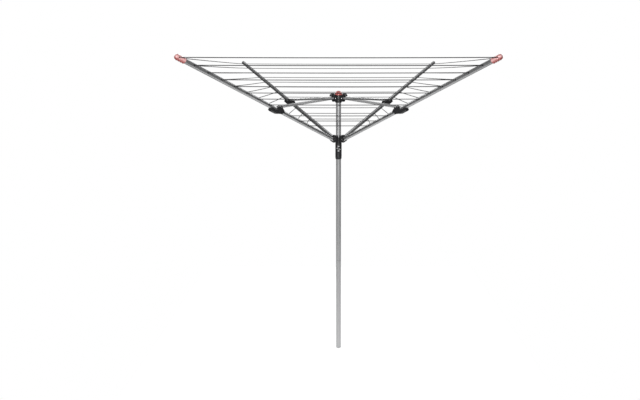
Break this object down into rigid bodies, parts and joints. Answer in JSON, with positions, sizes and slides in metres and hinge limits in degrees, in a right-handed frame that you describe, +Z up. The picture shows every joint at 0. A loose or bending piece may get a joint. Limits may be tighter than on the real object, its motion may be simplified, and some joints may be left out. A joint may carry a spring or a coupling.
{
  "type": "rotary clothesline",
  "caption": "Free-turning square clothesline on a tubular mast: four arms rise from a sliding runner, held by struts from a crown, and carry concentric rounds of line; folds like an umbrella.",
  "frame": {"origin": "centre of the mast's lower end", "axes": "+Z up along the mast; the arms lie on the diagonals between +X, -X, +Y and -Y; the release lever faces -Y"},
  "size_m": [1.8914, 1.8803, 2.455],
  "materials": {
    "mast_metal": "satin grey lacquer",
    "arm_metal": "satin grey lacquer",
    "strut_metal": "satin grey lacquer",
    "black_plastic": "moulded, lightly grained",
    "gloss_black": "moulded, glossy",
    "red_plastic": "moulded, satin gloss",
    "steel": "zinc plated",
    "line": "smooth PVC sheath",
    "rubber": "matt"
  },
  "bodies": {
    "lower_mast": {"lower_mast_tube": "mast_metal", "foot_plug": "black_plastic", "mast_spigot": "steel", "spigot_rivets": "steel", "thrust_washer": "black_plastic"},
    "upper_mast": {"upper_mast_tube": "mast_metal", "crown": "black_plastic", "crown_cap": "red_plastic", "crown_pins": "steel", "crown_screw": "steel"},
    "runner": {"runner_hub": "black_plastic", "runner_sleeve": "black_plastic", "runner_pins": "steel", "lever_pin": "steel", "lever_spring": "steel"},
    "lever": {"release_lever": "gloss_black", "brake_pad": "rubber"},
    "strut_front_left": {"strut_front_left": "strut_metal"},
    "arm_front_left": {"arm_tube_front_left": "arm_metal", "arm_heel_front_left": "black_plastic", "arm_end_front_left": "red_plastic", "line_bushes_front_left": "black_plastic", "bracket_saddle_front_left": "black_plastic", "bracket_yoke_front_left": "black_plastic", "bracket_pin_front_left": "steel", "lines_front": "line"},
    "strut_front_right": {"strut_front_right": "strut_metal"},
    "arm_front_right": {"arm_tube_front_right": "arm_metal", "arm_heel_front_right": "black_plastic", "arm_end_front_right": "red_plastic", "line_bushes_front_right": "black_plastic", "bracket_saddle_front_right": "black_plastic", "bracket_yoke_front_right": "black_plastic", "bracket_pin_front_right": "steel", "lines_right": "line"},
    "strut_back_right": {"strut_back_right": "strut_metal"},
    "arm_back_right": {"arm_tube_back_right": "arm_metal", "arm_heel_back_right": "black_plastic", "arm_end_back_right": "black_plastic", "line_bushes_back_right": "black_plastic", "bracket_saddle_back_right": "black_plastic", "bracket_yoke_back_right": "black_plastic", "bracket_pin_back_right": "steel", "lines_back": "line"},
    "strut_back_left": {"strut_back_left": "strut_metal"},
    "arm_back_left": {"arm_tube_back_left": "arm_metal", "arm_heel_back_left": "black_plastic", "arm_end_back_left": "black_plastic", "line_bushes_back_left": "black_plastic", "bracket_saddle_back_left": "black_plastic", "bracket_yoke_back_left": "black_plastic", "bracket_pin_back_left": "steel", "lines_left": "line"}
  },
  "joints": [
    {"name": "head_spin", "type": "hinge", "parent": "lower_mast", "child": "upper_mast", "pos_m": [0, 0, 0.8], "axis": [0, 0, 1], "continuous": true},
    {"name": "runner_slide", "type": "slide", "parent": "upper_mast", "child": "runner", "axis": [0, 0, -1], "range_m": [0, 0.79184], "deforming": ["lines_front", "lines_right", "lines_back", "lines_left"]},
    {"name": "lever_press", "type": "hinge", "parent": "runner", "child": "lever", "pos_m": [0, -0.026, 1.75], "axis": [-1, 0, 0], "range_deg": [0, 5], "stiffness_Nm_per_rad": 0.5, "springref_deg": -8.59, "deforming": ["lever_spring"]},
    {"name": "strut_fold_front_left", "type": "hinge", "parent": "upper_mast", "child": "strut_front_left", "pos_m": [-0.03535, -0.03535, 2.147], "axis": [0.7071, -0.7071, 0], "range_deg": [0, 84.5]},
    {"name": "arm_fold_front_left", "type": "hinge", "parent": "strut_front_left", "child": "arm_front_left", "pos_m": [-0.40618, -0.40618, 2.10855], "axis": [-0.7071, 0.7071, 0], "range_deg": [0, 145.5]},
    {"name": "strut_fold_front_right", "type": "hinge", "parent": "upper_mast", "child": "strut_front_right", "pos_m": [0.03535, -0.03535, 2.147], "axis": [0.7071, 0.7071, 0], "range_deg": [0, 84.5]},
    {"name": "arm_fold_front_right", "type": "hinge", "parent": "strut_front_right", "child": "arm_front_right", "pos_m": [0.40618, -0.40618, 2.10855], "axis": [-0.7071, -0.7071, 0], "range_deg": [0, 145.5]},
    {"name": "strut_fold_back_right", "type": "hinge", "parent": "upper_mast", "child": "strut_back_right", "pos_m": [0.03535, 0.03535, 2.147], "axis": [-0.7071, 0.7071, 0], "range_deg": [0, 84.5]},
    {"name": "arm_fold_back_right", "type": "hinge", "parent": "strut_back_right", "child": "arm_back_right", "pos_m": [0.40618, 0.40618, 2.10855], "axis": [0.7071, -0.7071, 0], "range_deg": [0, 145.5]},
    {"name": "strut_fold_back_left", "type": "hinge", "parent": "upper_mast", "child": "strut_back_left", "pos_m": [-0.03535, 0.03535, 2.147], "axis": [-0.7071, -0.7071, 0], "range_deg": [0, 84.5]},
    {"name": "arm_fold_back_left", "type": "hinge", "parent": "strut_back_left", "child": "arm_back_left", "pos_m": [-0.40618, 0.40618, 2.10855], "axis": [0.7071, 0.7071, 0], "range_deg": [0, 145.5]}
  ],
  "couplings": [
    {"joint": "strut_fold_front_left", "follows": "runner_slide", "rad_per_m": 1.8608},
    {"joint": "arm_fold_front_left", "follows": "runner_slide", "rad_per_m": 3.2053},
    {"joint": "strut_fold_front_right", "follows": "runner_slide", "rad_per_m": 1.8608},
    {"joint": "arm_fold_front_right", "follows": "runner_slide", "rad_per_m": 3.2053},
    {"joint": "strut_fold_back_right", "follows": "runner_slide", "rad_per_m": 1.8608},
    {"joint": "arm_fold_back_right", "follows": "runner_slide", "rad_per_m": 3.2053},
    {"joint": "strut_fold_back_left", "follows": "runner_slide", "rad_per_m": 1.8608},
    {"joint": "arm_fold_back_left", "follows": "runner_slide", "rad_per_m": 3.2053}
  ]
}
